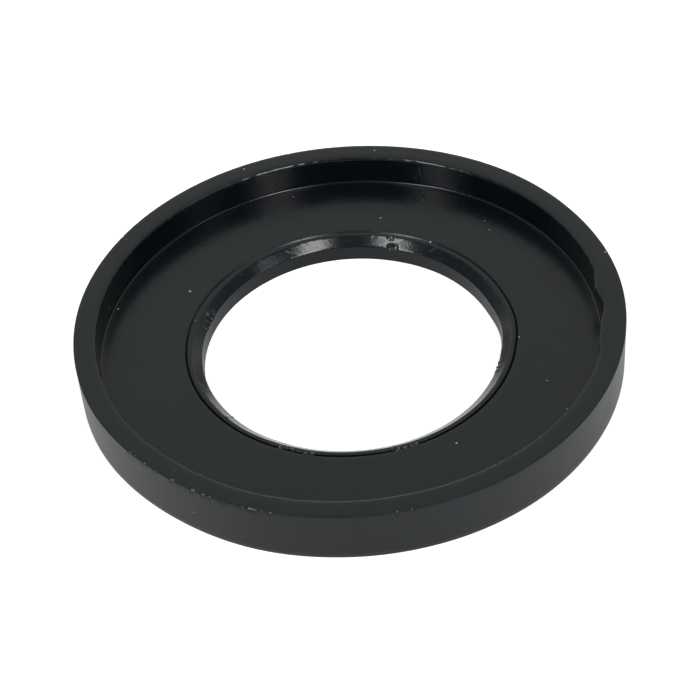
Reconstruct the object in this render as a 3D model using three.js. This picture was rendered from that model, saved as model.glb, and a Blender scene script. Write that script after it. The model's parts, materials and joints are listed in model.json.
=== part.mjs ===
// Moulded rubber seal ring for the floor flange of a small toilet.
// One solid body turned about +Z: a shallow dish with a raised rim round it and a bevelled
// outlet hole through its floor. Millimetres, underside on z = 0, dish side up.
import * as THREE from 'three';

// Driving dimensions
const OUTER_DIAMETER = 140;
const HEIGHT = 14.2;
const HOLE_DIAMETER = 76.4; // at the underside
const RIM_WIDTH = 5.6; // flat land and rounded inner edge together
const FLOOR_THICKNESS = 6.1;

// Draft that lets the ring leave its mould, as a change of radius over each wall
const SIDE_DRAFT = 0.4;
const RIM_WALL_DRAFT = 0.3;
const HOLE_DRAFT = 0.3;

// Edges and corners
const OUTER_EDGE_RADIUS = 0.3;
const RIM_INNER_RADIUS = 0.8;
const DISH_CORNER_RADIUS = 0.7;
const BASE_EDGE_RADIUS = 0.3;

// Fine groove and narrow lip round the hole, then the bevel down into it
const GROOVE_RADIUS = 42.35; // centre line
const GROOVE_WIDTH = 0.9;
const GROOVE_DEPTH = 0.6;
const LIP_INNER_RADIUS = 40.9;
const BEVEL_DEPTH = 2;

// Fineness of the solid
const SIDES = 120;
const STEPS_PER_ARC = 4;

const outerRadius = OUTER_DIAMETER / 2;
const holeRadius = HOLE_DIAMETER / 2;
const rimInnerRadius = outerRadius - RIM_WIDTH;
const dishRadius = rimInnerRadius - RIM_WALL_DRAFT;
const bevelFootRadius = holeRadius + HOLE_DRAFT;

// A corner of the section: radius from the axis, height, and how far its rounding reaches
const corner = (r, z, round = 0) => ({ at: new THREE.Vector2(r, z), round });

function outerWall() {
  return [
    corner(outerRadius - SIDE_DRAFT, 0, BASE_EDGE_RADIUS),
    corner(outerRadius, HEIGHT, OUTER_EDGE_RADIUS),
  ];
}

function rimAndDish() {
  return [
    corner(rimInnerRadius, HEIGHT, RIM_INNER_RADIUS),
    corner(dishRadius, FLOOR_THICKNESS, DISH_CORNER_RADIUS),
  ];
}

function groove() {
  const half = GROOVE_WIDTH / 2;
  const bottom = FLOOR_THICKNESS - GROOVE_DEPTH;
  return [
    corner(GROOVE_RADIUS + half, FLOOR_THICKNESS),
    corner(GROOVE_RADIUS, bottom),
    corner(GROOVE_RADIUS - half, FLOOR_THICKNESS),
  ];
}

function hole() {
  return [
    corner(LIP_INNER_RADIUS, FLOOR_THICKNESS),
    corner(bevelFootRadius, FLOOR_THICKNESS - BEVEL_DEPTH),
    corner(holeRadius, 0),
  ];
}

// Joins the corners into one closed outline, rounding those that ask for it
function outline(corners) {
  const points = [];
  corners.forEach(({ at, round }, i) => {
    if (round === 0) {
      points.push(at);
      return;
    }
    const before = corners.at(i - 1).at;
    const after = corners[(i + 1) % corners.length].at;
    const start = at.clone().add(before.clone().sub(at).setLength(round));
    const end = at.clone().add(after.clone().sub(at).setLength(round));
    points.push(...new THREE.QuadraticBezierCurve(start, at, end).getPoints(STEPS_PER_ARC));
  });
  points.push(points[0]);
  return points;
}

function sealRing() {
  const section = outline([...outerWall(), ...rimAndDish(), ...groove(), ...hole()]);
  const geometry = new THREE.LatheGeometry(section, SIDES);
  geometry.rotateX(Math.PI / 2);
  const rubber = new THREE.MeshStandardMaterial({ color: 0x2c2e2d, roughness: 0.5, metalness: 0 });
  const ring = new THREE.Mesh(geometry, rubber);
  ring.name = 'seal_ring';
  return ring;
}

const toiletFlangeSeal = new THREE.Group();
toiletFlangeSeal.add(sealRing());

export default toiletFlangeSeal;
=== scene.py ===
"""Looks for the moulded rubber seal ring of a small toilet's floor flange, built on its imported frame."""
import json
import math
import bmesh
import bpy
from mathutils import Matrix, Vector, noise


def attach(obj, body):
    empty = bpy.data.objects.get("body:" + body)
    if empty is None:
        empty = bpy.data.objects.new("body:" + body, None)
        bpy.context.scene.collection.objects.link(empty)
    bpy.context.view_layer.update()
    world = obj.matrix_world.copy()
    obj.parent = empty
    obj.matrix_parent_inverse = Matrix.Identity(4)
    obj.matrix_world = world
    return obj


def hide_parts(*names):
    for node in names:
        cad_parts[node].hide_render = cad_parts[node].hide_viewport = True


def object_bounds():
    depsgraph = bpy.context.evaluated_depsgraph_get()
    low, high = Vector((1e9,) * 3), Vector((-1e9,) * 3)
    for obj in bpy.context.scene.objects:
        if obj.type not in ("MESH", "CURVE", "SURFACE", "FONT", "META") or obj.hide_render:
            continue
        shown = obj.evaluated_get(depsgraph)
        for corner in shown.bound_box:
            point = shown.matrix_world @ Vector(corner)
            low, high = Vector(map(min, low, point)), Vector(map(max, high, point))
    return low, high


bl_info = {
    "name": "Toilet Flange Seal",
    "version": (1, 0, 0),
    "blender": (4, 5, 0),
    "location": "View3D > Sidebar > Flange Seal",
    "description": "Builds a moulded rubber toilet flange seal and the studio it is seen in",
    "category": "Object",
}

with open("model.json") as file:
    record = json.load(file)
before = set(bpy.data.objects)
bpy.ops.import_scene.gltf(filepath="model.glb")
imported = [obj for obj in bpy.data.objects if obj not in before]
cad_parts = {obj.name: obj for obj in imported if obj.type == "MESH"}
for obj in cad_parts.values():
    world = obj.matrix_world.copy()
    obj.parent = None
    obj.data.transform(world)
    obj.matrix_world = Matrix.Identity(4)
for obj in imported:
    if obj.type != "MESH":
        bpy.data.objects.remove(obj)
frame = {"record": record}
CAD_LOW, CAD_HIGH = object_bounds()
MM = 0.001
RING_NODE = "seal_ring"
BODY = "root"
MOUNTS = {mount["name"]: mount for mount in frame["record"]["mounts"]}

SATIN, POLISHED, TRIMMED, MATT = range(4)  # the ring's material slots, in order
SCUFF = "scuff"  # share of each point's rubber that is torn or knocked to chalky crumbs
ON_LEVEL = 1e-5  # two points closer than this in radius and height lie on one ring edge


def srgb(hex_colour):
    """Linear RGB of an sRGB colour written as #rrggbb."""
    shares = [int(hex_colour[i:i + 2], 16) / 255 for i in (1, 3, 5)]
    return tuple(s / 12.92 if s <= 0.04045 else ((s + 0.055) / 1.055) ** 2.4 for s in shares)


# ---------------------------------------------------------------- settings

def length(name, description, default):
    """A length setting, given in metres."""
    return bpy.props.FloatProperty(
        name=name, description=description, default=default, min=0, precision=5,
        unit="LENGTH", subtype="DISTANCE")


def turn(name, description, degrees):
    """An angle setting, given in degrees."""
    return bpy.props.FloatProperty(
        name=name, description=description, default=math.radians(degrees),
        unit="ROTATION", subtype="ANGLE")


def colour(name, description, hex_colour):
    """A colour setting, given as #rrggbb."""
    return bpy.props.FloatVectorProperty(
        name=name, description=description, default=srgb(hex_colour),
        min=0, max=1, size=3, subtype="COLOR")


class RingSizes(bpy.types.PropertyGroup):
    """Sizes of the moulded ring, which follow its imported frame."""
    outer_diameter: length("Outer diameter", "Across the top of the rim", CAD_HIGH.x - CAD_LOW.x)
    height: length("Height", "Underside to rim", CAD_HIGH.z - CAD_LOW.z)
    floor_thickness: length(
        "Floor thickness", "Underside to dish floor", MOUNTS["dish_floor"]["pos_m"][2])
    hole_diameter: length("Hole diameter", "Outlet hole at the underside", 76.4 * MM)
    rim_width: length("Rim width", "Flat land and rounded inner edge together", 5.6 * MM)
    lip_radius: length("Lip radius", "Axis to the inner edge of the lip", 41.05 * MM)
    groove_radius: length("Groove radius", "Axis to the bottom of the groove", 42.35 * MM)
    bevel_depth: length("Bevel depth", "Lip down to the straight wall of the hole", 2.1 * MM)


class RubberFinish(bpy.types.PropertyGroup):
    """Colour and gloss of the rubber."""
    black: colour("Rubber colour", "Carbon-black rubber seen without its gloss", "#070c12")
    dust: colour("Dust colour", "Pale specks and scuffs on the rubber", "#a4a69f")
    satin: bpy.props.FloatProperty(
        name="Satin roughness", description="Roughness of the rim and the dish floor", default=0.24,
        min=0, max=1, subtype="FACTOR")
    polished: bpy.props.FloatProperty(
        name="Polished roughness", description="Roughness of the rim's inner wall and the cut bevel",
        default=0.14, min=0, max=1, subtype="FACTOR")
    matt: bpy.props.FloatProperty(
        name="Matt roughness", description="Roughness of the outer side and the hole's wall",
        default=0.42, min=0, max=1, subtype="FACTOR")


class StudioSetup(bpy.types.PropertyGroup):
    """Camera and light."""
    elevation: turn("Camera elevation", "Height of the camera's line of sight above the floor", 42.6)
    roll: turn("Camera roll", "Turn of the camera about its line of sight", 4.9)
    distance: length("Camera distance", "Rim to camera along the line of sight", 548 * MM)
    lens: bpy.props.FloatProperty(
        name="Lens", description="Focal length on a 36 mm sensor", default=111.2, min=1, unit="CAMERA")
    aim_left: length("Aim left", "How far left of the camera's axis the rim's centre lies", 0.4 * MM)
    aim_up: length("Aim up", "How far above the camera's axis the rim's centre lies", 9.1 * MM)


# ---------------------------------------------------------------- mesh work

def smooth_step(x):
    """Eases from 0 to 1 as x goes from 0 to 1."""
    x = min(max(x, 0), 1)
    return x * x * (3 - 2 * x)


def hump(gap, reach):
    """1 where the gap is nothing, easing to 0 at the reach."""
    return smooth_step(1 - abs(gap) / reach)


def plateau(x, start, end, ease):
    """1 between start and end, easing to 0 over the ease outside them."""
    return smooth_step((x - start) / ease + 1) * smooth_step((end - x) / ease + 1)


def angle_gap(a, b):
    """Degrees from b round to a, the short way."""
    return (a - b + 180) % 360 - 180


def polar(point):
    """Distance from the ring's axis, and azimuth in degrees."""
    return math.hypot(point.x, point.y), math.degrees(math.atan2(point.y, point.x))


def direction(azimuth, elevation=0):
    """Unit vector to a place seen at this azimuth (degrees from +X) and elevation."""
    a, e = math.radians(azimuth), math.radians(elevation)
    return Vector((math.cos(a) * math.cos(e), math.sin(a) * math.cos(e), math.sin(e)))


def push_out(vert, amount):
    """Moves a point away from the ring's axis."""
    outward = Vector((vert.co.x, vert.co.y, 0)).normalized()
    vert.co += outward * amount


def ring_edges(bm, at):
    """Edges that run round the ring at one radius and height."""
    def on_it(vert):
        radius = math.hypot(vert.co.x, vert.co.y)
        return abs(radius - at[0]) < ON_LEVEL and abs(vert.co.z - at[1]) < ON_LEVEL
    return [edge for edge in bm.edges if all(on_it(v) for v in edge.verts)]


def round_corner(bm, at, reach, segments):
    """Rounds the ring edges at one corner of the section."""
    bmesh.ops.bevel(
        bm, geom=ring_edges(bm, at), affect="EDGES", offset=reach, offset_type="OFFSET",
        segments=segments, profile=0.5, material=-1, clamp_overlap=True)


# Widest strips of the mesh: where the web was trimmed, underneath, and everywhere else
TRIM_STRIP, BASE_STRIP, PLAIN_STRIP = 0.45 * MM, 8 * MM, 1.4 * MM


def widest_strip(edge, section):
    """How wide a strip of wall may be here: fine at the trimmed lip, coarse underneath."""
    radius = max(polar(v.co)[0] for v in edge.verts)
    height = max(v.co.z for v in edge.verts)
    if height < section.hole_edge[1] + 0.5 * MM:
        return BASE_STRIP
    if radius < section.groove_outer[0] and height > section.bevel_foot[1] - 1 * MM:
        return TRIM_STRIP
    return PLAIN_STRIP


def divide_walls(bm, section):
    """Cuts every wall of the section into strips."""
    by_cuts = {}
    for edge in bm.edges:
        (_, start), (_, end) = (polar(v.co) for v in edge.verts)
        if abs(angle_gap(start, end)) > 0.01:
            continue
        cuts = math.ceil(edge.calc_length() / widest_strip(edge, section) - 0.01) - 1
        if cuts > 0:
            by_cuts.setdefault(cuts, []).append(edge)
    for cuts, edges in sorted(by_cuts.items()):
        bmesh.ops.subdivide_edges(bm, edges=edges, cuts=cuts, use_grid_fill=True)


def new_piece(name, bm, materials, smooth_angle):
    """Makes a linked object of a finished bmesh, smooth up to this many degrees."""
    mesh = bpy.data.meshes.new(name)
    bm.to_mesh(mesh)
    bm.free()
    for material in materials:
        mesh.materials.append(material)
    mesh.shade_smooth()
    mesh.set_sharp_from_angle(angle=math.radians(smooth_angle))
    piece = bpy.data.objects.new(name, mesh)
    bpy.context.scene.collection.objects.link(piece)
    return piece


# ---------------------------------------------------------------- the ring

TURN_STEPS = 900  # faces round the ring, 0.5 mm long at the outer edge
SIDE_DRAFT = 0.2 * MM
# The rim's land rolls over towards the dish: how far three places on it lie outside the
# inner wall, and how far below the land
RIM_ROLL = [(1.7 * MM, 0), (0.75 * MM, 0.1 * MM), (0, 0.36 * MM)]
RIM_WALL_DRAFT = 0.3 * MM
HOLE_DRAFT = 0.3 * MM
GROOVE_HALF = 0.32 * MM
GROOVE_DEPTH = 0.55 * MM
EDGE_HOLD = 0.7 * MM  # knocks on the rim's outer edge reach no further down than this
BEAD_WIDTH = 0.45 * MM  # narrow crown between the groove and the fine line inside it
LINE_DEPTH = 0.05 * MM


class Section:
    """Corners of the ring's section as (radius, height)."""

    def __init__(self, sizes):
        base, top = CAD_LOW.z, CAD_LOW.z + sizes.height
        dish = CAD_LOW.z + sizes.floor_thickness
        outer, hole = sizes.outer_diameter / 2, sizes.hole_diameter / 2
        rim_inner = outer - sizes.rim_width
        groove = sizes.groove_radius
        bead = groove - GROOVE_HALF
        self.base_edge = (outer - SIDE_DRAFT, base)
        self.below_rim = (outer - 0.02 * MM, top - EDGE_HOLD)
        self.rim_outer = (outer, top)
        self.rim_roll, self.rim_turn, self.rim_inner = (
            (rim_inner + width, top - drop) for width, drop in RIM_ROLL)
        self.dish_corner = (rim_inner - RIM_WALL_DRAFT, dish)
        self.groove_outer = (groove + GROOVE_HALF, dish)
        self.groove_bottom = (groove + 0.1 * MM, dish - 0.8 * GROOVE_DEPTH)
        self.groove_foot = (bead + 0.06 * MM, dish - GROOVE_DEPTH)
        self.bead_outer = (bead, dish)
        self.fine_line = (bead - BEAD_WIDTH, dish - LINE_DEPTH)
        self.lip_edge = (sizes.lip_radius, dish)
        self.bevel_foot = (hole + HOLE_DRAFT, dish - sizes.bevel_depth)
        self.hole_edge = (hole, base)

    def corners(self):
        """All of them in order, up the outer side and down the hole."""
        return [
            self.base_edge, self.below_rim, self.rim_outer, self.rim_roll, self.rim_turn,
            self.rim_inner, self.dish_corner, self.groove_outer, self.groove_bottom,
            self.groove_foot, self.bead_outer, self.fine_line, self.lip_edge, self.bevel_foot,
            self.hole_edge]


def turned_ring(section):
    """Spins the section's outline once round the axis and rounds its corners."""
    bm = bmesh.new()
    bm.verts.layers.float.new(SCUFF)
    verts = [bm.verts.new((radius, 0, height)) for radius, height in section.corners()]
    edges = [bm.edges.new(pair) for pair in zip(verts, verts[1:] + verts[:1])]
    bmesh.ops.spin(
        bm, geom=verts + edges, cent=(0, 0, 0), axis=(0, 0, 1), angle=math.tau,
        steps=TURN_STEPS, use_merge=True, use_duplicate=False)
    bmesh.ops.remove_doubles(bm, verts=bm.verts, dist=1e-6)
    bmesh.ops.recalc_face_normals(bm, faces=bm.faces)
    round_corner(bm, section.base_edge, 0.3 * MM, 2)
    round_corner(bm, section.rim_outer, 0.16 * MM, 3)
    round_corner(bm, section.rim_roll, 0.45 * MM, 4)
    round_corner(bm, section.rim_turn, 0.3 * MM, 4)
    round_corner(bm, section.rim_inner, 0.45 * MM, 6)
    round_corner(bm, section.dish_corner, 0.45 * MM, 5)
    round_corner(bm, section.groove_outer, 0.2 * MM, 3)
    round_corner(bm, section.bead_outer, 0.14 * MM, 3)
    round_corner(bm, section.lip_edge, 0.22 * MM, 4)
    round_corner(bm, section.bevel_foot, 0.1 * MM, 2)
    round_corner(bm, section.hole_edge, 0.1 * MM, 2)
    divide_walls(bm, section)
    return bm


# The trimming knife left the bevel bright only here: middle and reach in degrees
BRIGHT_CUT = (83, 73)
STEEP = 0.85  # a face whose normal rises less than this is part of a wall


def name_zones(bm, section):
    """Gives each face its finish by the wall it lies on."""
    mid_floor = section.groove_outer[0] + 10 * MM
    lip_inner = section.lip_edge[0]
    foot = section.bevel_foot[1]
    rim_wall = section.rim_inner[0] - 0.25 * MM
    for face in bm.faces:
        centre = face.calc_center_median()
        radius = math.hypot(centre.x, centre.y)
        steep = abs(face.normal.z) < STEEP
        face.material_index = SATIN
        if steep and mid_floor < radius < section.rim_outer[0] - 2 * MM:
            face.material_index = POLISHED
        elif steep and radius > rim_wall:
            face.material_index = MATT
        elif radius < lip_inner - 0.1 * MM and centre.z > foot:
            at_back = abs(angle_gap(polar(centre)[1], BRIGHT_CUT[0])) < BRIGHT_CUT[1]
            face.material_index = TRIMMED if at_back else SATIN
        elif steep and radius < lip_inner and centre.z < foot:
            face.material_index = MATT


# Where a squeeze in storage left the soft ring out of round: direction and reach in degrees,
# and how far its wall stands out. The hole has taken a shape of its own.
OUT_OF_ROUND = [(226, 26, -0.35 * MM), (50, 26, 0.25 * MM), (305, 45, 0.3 * MM)]
HOLE_OUT_OF_ROUND = [(150, 65, -0.4 * MM), (3, 16, 0.5 * MM), (226, 18, 0.3 * MM)]


def lean_out_of_round(bm, section):
    """Moves the walls out of round, most at the outer side, and the hole by itself."""
    groove_at = section.groove_outer[0]
    for vert in bm.verts:
        radius, angle = polar(vert.co)
        share = radius / section.rim_outer[0]
        amount = sum(
            size * hump(angle_gap(angle, at), reach) * share for at, reach, size in OUT_OF_ROUND)
        hole_share = smooth_step((groove_at + 2 * MM - radius) / (4 * MM))
        amount += sum(
            size * hump(angle_gap(angle, at), reach) * hole_share
            for at, reach, size in HOLE_OUT_OF_ROUND)
        push_out(vert, amount)


# Faults of the rim's inner edge, by azimuth in degrees. A flap of flash hangs over the dish:
# where it starts and how far it takes to stand out, then where it ends and how far it takes
# to die away.
FLAP_START, FLAP_RISE = -3, 5.2
FLAP_END, FLAP_FALL = 8.4, 5.8
FLAP_REACH = 1.35 * MM
SECOND_FLAP, SECOND_REACH = (-15, -9, 4), 0.85 * MM  # start, end and ease
TORN = (-14, 2, 1.5)  # ragged stretch from one flap to the other
WORN = (71, 76, 1.5)  # faint scuff just under the edge


def torn_rim_edge(bm, section):
    """The rim's inner edge wanders a little, and two flaps of flash hang from it at the right."""
    radius_at, top = section.rim_inner
    floor = section.dish_corner[1]
    scuff = bm.verts.layers.float[SCUFF]
    for vert in bm.verts:
        radius, angle = polar(vert.co)
        if not radius_at - 1.5 * MM < radius < radius_at + 1.2 * MM or vert.co.z < floor + 0.6 * MM:
            continue
        upper = smooth_step((vert.co.z - floor) / (top - floor) * 1.6 - 0.3)
        near = hump(radius - radius_at, 1.4 * MM)
        wander = 0.16 * MM * noise.noise(direction(angle) * 26) * hump(vert.co.z - top, 0.9 * MM)
        rise, fall = (angle - FLAP_START) / FLAP_RISE, (FLAP_END - angle) / FLAP_FALL
        flap = FLAP_REACH * min(max(rise, 0), max(fall, 0), 1)
        flap = max(flap, SECOND_REACH * plateau(angle, *SECOND_FLAP))
        ragged = 0.22 * MM * noise.noise(Vector((angle * 1.4, vert.co.z * 900, 4)))
        torn = plateau(angle, *TORN)
        push_out(vert, near * (wander - flap * upper + torn * ragged))
        below_edge = hump(vert.co.z - top + 1.2 * MM, 1.2 * MM)
        vert[scuff] = max(0.42 * torn, 0.55 * below_edge * plateau(angle, *WORN))


def trimmed_hole_edge(bm, section):
    """The lip and the foot of the bevel follow the hand that trimmed the moulding web away."""
    lip, foot = section.lip_edge, section.bevel_foot
    for vert in bm.verts:
        radius, angle = polar(vert.co)
        if radius > lip[0] + 0.3 * MM or vert.co.z < foot[1] - 1 * MM:
            continue
        at_lip = hump(radius - lip[0], 0.6 * MM) * hump(vert.co.z - lip[1], 0.6 * MM)
        at_foot = hump(vert.co.z - foot[1], 0.9 * MM)
        around = direction(angle)
        long_wave = noise.noise(around * 6)
        short_wave = noise.noise(around * 45)
        vert.co.z += at_foot * (0.04 * MM * long_wave + 0.012 * MM * short_wave)
        vert.co.z += at_lip * 0.012 * MM * short_wave
        push_out(vert, at_lip * 0.06 * MM * noise.noise(around * 30 + Vector((0, 0, 7))))


# Torn wisps left at the foot of the bevel: azimuth and half width in degrees, and how far
# each stands in over the hole
WISPS = [(68.4, 0.9, 0.5 * MM), (70.5, 2.1, 0.85 * MM), (155.8, 1.2, 0.6 * MM),
         (158.8, 1.5, 0.9 * MM), (161.6, 1.0, 0.5 * MM), (164.6, 0.5, 1.0 * MM), (217, 0.6, 0.3 * MM),
         (337.3, 0.8, 0.5 * MM), (339.6, 0.5, 0.35 * MM), (342.4, 0.8, 0.45 * MM)]
# Frayed crumbs on the lip where trimming dragged rubber over the groove: azimuth, radius
CRUMBS = [(217.1, 40.8 * MM), (242.4, 41.8 * MM), (244.6, 41.3 * MM), (246.8, 41.6 * MM),
          (249.0, 41.2 * MM), (251.6, 42.2 * MM), (254.0, 42.1 * MM), (281.0, 41.3 * MM),
          (282.8, 41.9 * MM), (284.9, 42.3 * MM), (287.2, 42.4 * MM), (289.0, 42.2 * MM),
          (71.3, 40.8 * MM), (158.4, 39.8 * MM), (164.0, 41.8 * MM)]
COMB = (305, 4.2, 0.95)  # close row of knife notches: middle, reach and spacing in degrees


def frayed_lip(bm, section):
    """Raises the crumbs on the lip and cuts the row of knife notches in its edge."""
    dish = section.lip_edge[1]
    scuff = bm.verts.layers.float[SCUFF]
    for vert in bm.verts:
        radius, angle = polar(vert.co)
        if not section.lip_edge[0] - 1.8 * MM < radius < section.groove_outer[0] + 0.8 * MM:
            continue
        for at, crumb_radius in CRUMBS:
            along = math.radians(angle_gap(angle, at)) * radius
            grip = hump(math.hypot(0.7 * along, radius - crumb_radius), 0.95 * MM)
            if grip > 0 and vert.co.z > dish - 1.6 * MM:
                level = dish - max(section.lip_edge[0] - radius, 0) * 0.6
                lift = 0.12 * MM + 0.3 * MM * noise.noise(vert.co * 1500)
                vert.co.z += (max(level, vert.co.z) + lift - vert.co.z) * grip
                vert[scuff] = max(vert[scuff], 0.8 * grip)
        notch = max(math.cos(math.tau * angle_gap(angle, COMB[0]) / COMB[2]), 0) ** 2
        edge = hump(radius - section.lip_edge[0], 0.8 * MM)
        push_out(vert, 0.22 * MM * notch * edge * hump(angle_gap(angle, COMB[0]), COMB[1]))


def torn_wisps(bm, section):
    """Pulls the foot of the bevel in over the hole where the web tore instead of parting."""
    foot = section.bevel_foot
    lip = section.lip_edge
    scuff = bm.verts.layers.float[SCUFF]
    for vert in bm.verts:
        radius, angle = polar(vert.co)
        if radius > lip[0] or vert.co.z < foot[1] - 1.2 * MM:
            continue
        for at, half_width, reach in WISPS:
            gap = angle_gap(angle, at)
            if abs(gap) > half_width:
                continue
            rough = 0.6 + 0.9 * noise.noise(Vector((angle * 2.6, radius * 1800, vert.co.z * 1800)))
            grip = hump(gap, half_width) * hump(vert.co.z - foot[1] - 0.2 * MM, 0.9 * MM) * rough
            push_out(vert, -reach * grip)
            vert.co.z += 0.25 * reach * grip
            vert[scuff] = max(vert[scuff], 0.9 * grip)


def nicked_outer_edge(bm, section):
    """Small knocks round the rim's outer edge, more of them towards the front left."""
    radius_at, top = section.rim_outer
    scuff = bm.verts.layers.float[SCUFF]
    for vert in bm.verts:
        radius, angle = polar(vert.co)
        if abs(radius - radius_at) > 0.5 * MM or vert.co.z < top - 0.9 * EDGE_HOLD:
            continue
        often = plateau(angle_gap(angle, 233), -15, 14, 12)
        seldom = plateau(angle_gap(angle, 270), -22, 14, 10)
        gate = 0.6 - 0.56 * often - 0.32 * seldom
        knock = min(max(noise.noise(direction(angle) * 75) - gate, 0) / 0.3, 1)
        vert.co.z -= 0.16 * MM * knock
        push_out(vert, -0.2 * MM * knock)
        vert[scuff] = 0.8 * knock


def slack_surfaces(bm):
    """Rubber is never quite flat: the dish floor and the walls swell and sink very slightly."""
    for vert in bm.verts:
        if vert.co.z <= CAD_LOW.z + ON_LEVEL:
            continue
        vert.co.z += 0.035 * MM * noise.noise(vert.co * 45)
        push_out(vert, 0.04 * MM * noise.noise(vert.co * 60 + Vector((3, 1, 0))))


class FLANGE_OT_mould_ring(bpy.types.Operator):
    """Turn the seal ring, then give it the small faults of a hand-trimmed rubber moulding"""
    bl_idname = "flange_seal.mould_ring"
    bl_label = "Seal ring"

    def execute(self, context):
        section = Section(context.scene.ring_sizes)
        bm = turned_ring(section)
        name_zones(bm, section)
        torn_rim_edge(bm, section)
        trimmed_hole_edge(bm, section)
        torn_wisps(bm, section)
        frayed_lip(bm, section)
        nicked_outer_edge(bm, section)
        slack_surfaces(bm)
        lean_out_of_round(bm, section)
        finish = context.scene.rubber_finish
        rubbers = [
            satin_rubber(finish), polished_rubber(finish), trimmed_rubber(finish), matt_rubber(finish)]
        ring = new_piece("moulded_ring", bm, rubbers, 50)
        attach(ring, BODY)
        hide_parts(RING_NODE)
        return {"FINISHED"}


# ---------------------------------------------------------------- materials

def add(tree, kind, settings=None, links=None):
    """Adds a node: settings go on its properties or unlinked inputs, links bring in outputs."""
    node = tree.nodes.new(kind)
    for key, value in (settings or {}).items():
        if isinstance(key, str) and hasattr(node, key):
            setattr(node, key, value)
        else:
            node.inputs[key].default_value = value
    for key, source in (links or {}).items():
        tree.links.new(source, node.inputs[key])
    return node


def ramp(tree, value, *stops):
    """A straight ramp from one number to another between two places."""
    node = add(tree, "ShaderNodeValToRGB", links={"Fac": value})
    for element, (place, share) in zip(node.color_ramp.elements, stops):
        element.position = place
        element.color = (share, share, share, 1)
    return node.outputs["Color"]


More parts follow.
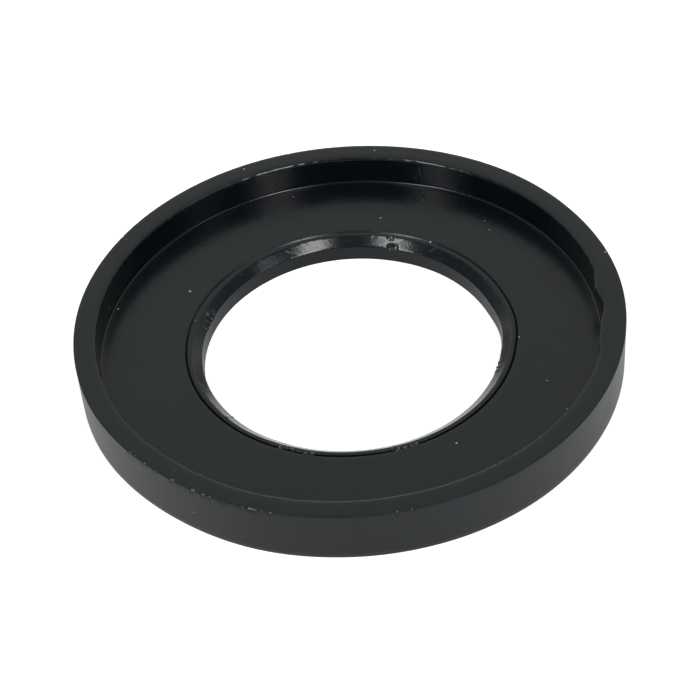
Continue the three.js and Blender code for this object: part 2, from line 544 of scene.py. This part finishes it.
def rubber(name, finish, roughness, specular, grain_mm, grain_depth, dust_share):
    """Carbon-black rubber: nearly no colour of its own, so its gloss is what the eye sees.

    The grain's size and depth are in millimetres; the dust share is how many cells hold a speck.
    """
    material = bpy.data.materials.new(name)
    material.use_nodes = True
    tree = material.node_tree
    tree.nodes.clear()
    place = add(tree, "ShaderNodeTexCoord").outputs["Object"]

    # Pale lint and dust: one speck in some of the cells of a 4 mm net
    cells = add(tree, "ShaderNodeTexVoronoi", {"Scale": 1 / (4 * MM), "Randomness": 1.0},
                {"Vector": place})
    draw = add(tree, "ShaderNodeSeparateColor", links={"Color": cells.outputs["Color"]})
    chosen = add(tree, "ShaderNodeMath", {"operation": "GREATER_THAN", 1: 1 - dust_share},
                 {0: draw.outputs["Red"]})
    ragged = add(tree, "ShaderNodeTexNoise", {"Scale": 1 / (0.3 * MM)}, {"Vector": place})
    size = add(tree, "ShaderNodeMath", {"operation": "MULTIPLY", 1: 0.16},
               {0: draw.outputs["Green"]})
    reach = add(tree, "ShaderNodeMath", {"operation": "MULTIPLY"},
                {0: ragged.outputs["Fac"], 1: size.outputs[0]})
    inside = add(tree, "ShaderNodeMath", {"operation": "LESS_THAN"},
                 {0: cells.outputs["Distance"], 1: reach.outputs[0]})
    speck = add(tree, "ShaderNodeMath", {"operation": "MULTIPLY"},
                {0: chosen.outputs[0], 1: inside.outputs[0]})

    # Knocked and torn places show chalky crumbs where the mesh says so
    torn = add(tree, "ShaderNodeAttribute", {"attribute_name": SCUFF}).outputs["Fac"]
    crumbs = add(tree, "ShaderNodeTexNoise", {"Scale": 1 / (0.25 * MM), "Detail": 4.0},
                 {"Vector": place})
    broken = add(tree, "ShaderNodeMath", {"operation": "MULTIPLY"},
                 {0: torn, 1: crumbs.outputs["Fac"]})
    crumb = ramp(tree, broken.outputs[0], (0.28, 0.0), (0.5, 0.5))
    pale = add(tree, "ShaderNodeMath", {"operation": "MAXIMUM"}, {0: speck.outputs[0], 1: crumb})

    # Bloom: cloudy patches 12 mm across where wax has come to the surface, so the black
    # and its gloss vary a little
    bloom = add(tree, "ShaderNodeTexNoise", {"Scale": 1 / (12 * MM), "Detail": 5.0},
                {"Vector": place})
    base = add(tree, "ShaderNodeMix", {"data_type": "RGBA", "B": (*finish.dust, 1)},
               {"Factor": pale.outputs[0]})
    shade = add(tree, "ShaderNodeMix", {"data_type": "RGBA"},
                {"Factor": ramp(tree, bloom.outputs["Fac"], (0.3, 0.0), (0.75, 1.0))})
    shade.inputs["A"].default_value = (*(0.8 * c for c in finish.black), 1)
    shade.inputs["B"].default_value = (*(1.25 * c for c in finish.black), 1)
    tree.links.new(shade.outputs["Result"], base.inputs["A"])
    gloss = add(tree, "ShaderNodeMapRange", {"To Min": roughness * 0.93, "To Max": roughness * 1.1},
                {"Value": bloom.outputs["Fac"]})

    # The mould's own fine texture, under it a few pimples and shallow drag marks
    grain = add(tree, "ShaderNodeTexNoise", {"Scale": 1 / (grain_mm * MM), "Detail": 3.0},
                {"Vector": place})
    bump = add(tree, "ShaderNodeBump", {"Strength": 0.5, "Distance": grain_depth * MM},
               {"Height": grain.outputs["Fac"]})
    sites = add(tree, "ShaderNodeTexVoronoi", {"Scale": 1 / (7 * MM)}, {"Vector": place})
    pimple = ramp(tree, sites.outputs["Distance"], (0.03, 1.0), (0.1, 0.0))
    stretched = add(tree, "ShaderNodeMapping", {"Rotation": (0, 0, 0.35), "Scale": (1, 7, 1)},
                    {"Vector": place})
    drag = add(tree, "ShaderNodeTexNoise", {"Scale": 1 / (5 * MM), "Detail": 6.0},
               {"Vector": stretched.outputs["Vector"]})
    drag_mark = ramp(tree, drag.outputs["Fac"], (0.62, 0.0), (0.72, 0.6))
    faults = add(tree, "ShaderNodeMath", {"operation": "MAXIMUM"}, {0: pimple, 1: drag_mark})
    fault_bump = add(tree, "ShaderNodeBump", {"Strength": 0.6, "Distance": 0.06 * MM},
                     {"Height": faults.outputs[0], "Normal": bump.outputs["Normal"]})
    shader = add(tree, "ShaderNodeBsdfPrincipled", {
        "IOR": 1.5, "Metallic": 0.0, "Specular IOR Level": specular}, {
        "Base Color": base.outputs["Result"], "Roughness": gloss.outputs["Result"],
        "Normal": fault_bump.outputs["Normal"]})
    add(tree, "ShaderNodeOutputMaterial", links={"Surface": shader.outputs["BSDF"]})
    return material


def satin_rubber(finish):
    # Nitrile rubber pressed against a bead-blasted mould face: even satin with soft reflections
    return rubber("satin_moulded_rubber", finish, finish.satin, 0.5, 0.5, 0.02, 0.35)


def polished_rubber(finish):
    # The same rubber off a polished core: wet-looking black with sharp highlights
    return rubber("polished_moulded_rubber", finish, finish.polished, 0.5, 0.8, 0.02, 0.05)


def trimmed_rubber(finish):
    # Rubber cut by a turning knife: glossy, broken up by the fine chatter of the blade
    return rubber("knife_cut_rubber", finish, finish.polished, 0.5, 0.6, 0.05, 0.03)


def matt_rubber(finish):
    # The same rubber off a turned mould wall: dull, with a grain that spreads the light
    return rubber("matt_moulded_rubber", finish, finish.matt, 0.22, 0.35, 0.03, 0.1)


def white_acrylic():
    # Opal acrylic sheet, lit from below: an even white that hides its own shadows
    material = bpy.data.materials.new("opal_acrylic_sheet")
    material.use_nodes = True
    tree = material.node_tree
    shader = tree.nodes["Principled BSDF"]
    shader.inputs["Base Color"].default_value = (*srgb("#f0f0ee"), 1)
    shader.inputs["Roughness"].default_value = 0.6
    shader.inputs["Emission Color"].default_value = (*srgb("#fffffd"), 1)
    shader.inputs["Emission Strength"].default_value = 0.62
    return material


# ---------------------------------------------------------------- the studio

LIGHT_DISTANCE = 0.9
STAGE_RADIUS = 3
STAGE_GAP = 0.05 * MM  # how far under the ring the stage lies, so that no two faces coincide


def softbox(name, azimuth, elevation, wide, high, radiance, tint=(1, 1, 1)):
    """A rectangular soft light that covers this many degrees across and up, seen from the ring."""
    light = bpy.data.lights.new(name, "AREA")
    light.shape = "RECTANGLE"
    light.size = 2 * LIGHT_DISTANCE * math.tan(math.radians(wide / 2))
    light.size_y = 2 * LIGHT_DISTANCE * math.tan(math.radians(high / 2))
    light.energy = radiance * math.pi * light.size * light.size_y
    light.color = tint
    lamp = bpy.data.objects.new(name, light)
    toward = direction(azimuth, elevation)
    lamp.location = toward * LIGHT_DISTANCE
    lamp.rotation_euler = toward.to_track_quat("Z", "Y").to_euler()
    bpy.context.scene.collection.objects.link(lamp)


def camera(studio):
    """Looks down at the ring from the front, a little rolled, with the ring above centre."""
    e, r = studio.elevation, studio.roll
    level, rise = Vector((1, 0, 0)), Vector((0, math.sin(e), math.cos(e)))
    ahead = Vector((0, math.cos(e), -math.sin(e)))
    right = level * math.cos(r) - rise * math.sin(r)
    up = level * math.sin(r) + rise * math.cos(r)
    rim = Vector((0, 0, CAD_HIGH.z))
    place = rim + right * studio.aim_left - up * studio.aim_up - ahead * studio.distance
    data = bpy.data.cameras.new("studio_camera")
    data.lens = studio.lens
    data.sensor_width = 36
    data.clip_start = 0.01
    eye = bpy.data.objects.new("studio_camera", data)
    axes = Matrix((right, up, -ahead)).transposed().to_4x4()
    eye.matrix_world = Matrix.Translation(place) @ axes
    bpy.context.scene.collection.objects.link(eye)
    bpy.context.scene.camera = eye


class FLANGE_OT_set_stage(bpy.types.Operator):
    """Lay the pale floor, hang the soft lights and place the camera"""
    bl_idname = "flange_seal.set_stage"
    bl_label = "Stage"

    def execute(self, context):
        bm = bmesh.new()
        bmesh.ops.create_circle(bm, cap_ends=True, segments=96, radius=STAGE_RADIUS)
        bmesh.ops.translate(bm, verts=bm.verts, vec=(0, 0, CAD_LOW.z - STAGE_GAP))
        new_piece("white_floor", bm, [white_acrylic()], 30)
        # Big faint panels behind give the flat faces their sheen; the two tall boxes in front
        # give the bevel its highlights
        softbox("back_panel", 89, 45, 100, 84, 0.355, (1, 0.99, 0.84))
        softbox("low_back_panel", 90, 12, 110, 22, 0.2, (1, 0.99, 0.86))
        softbox("front_left_box", 223, 47, 10, 42, 8.2)
        softbox("front_right_box", 300, 47, 12, 42, 8.2)
        softbox("right_strip", 337, 40, 14, 30, 1.2)
        world = context.scene.world or bpy.data.worlds.new("studio_world")
        context.scene.world = world
        world.use_nodes = True
        background = world.node_tree.nodes["Background"]
        background.inputs["Color"].default_value = (0.19, 0.23, 0.24, 1)
        background.inputs["Strength"].default_value = 1
        context.scene.view_settings.view_transform = "Standard"
        camera(context.scene.studio_setup)
        return {"FINISHED"}


# ---------------------------------------------------------------- panel and running

class FLANGE_PT_panel(bpy.types.Panel):
    """Sizes, finish and buttons of the flange seal"""
    bl_idname = "FLANGE_PT_panel"
    bl_label = "Toilet Flange Seal"
    bl_space_type = "VIEW_3D"
    bl_region_type = "UI"
    bl_category = "Flange Seal"

    def draw(self, context):
        scene = context.scene
        for group in (scene.ring_sizes, scene.rubber_finish, scene.studio_setup):
            box = self.layout.box()
            for name in group.__annotations__:
                box.prop(group, name)
        self.layout.operator(FLANGE_OT_mould_ring.bl_idname)
        self.layout.operator(FLANGE_OT_set_stage.bl_idname)


CLASSES = (
    RingSizes, RubberFinish, StudioSetup, FLANGE_OT_mould_ring, FLANGE_OT_set_stage,
    FLANGE_PT_panel)


def register():
    for cls in CLASSES:
        bpy.utils.register_class(cls)
    bpy.types.Scene.ring_sizes = bpy.props.PointerProperty(type=RingSizes)
    bpy.types.Scene.rubber_finish = bpy.props.PointerProperty(type=RubberFinish)
    bpy.types.Scene.studio_setup = bpy.props.PointerProperty(type=StudioSetup)


def unregister():
    del bpy.types.Scene.studio_setup
    del bpy.types.Scene.rubber_finish
    del bpy.types.Scene.ring_sizes
    for cls in reversed(CLASSES):
        bpy.utils.unregister_class(cls)


def main():
    register()
    bpy.ops.flange_seal.set_stage()
    bpy.ops.flange_seal.mould_ring()


if __name__ == "__main__":
    main()
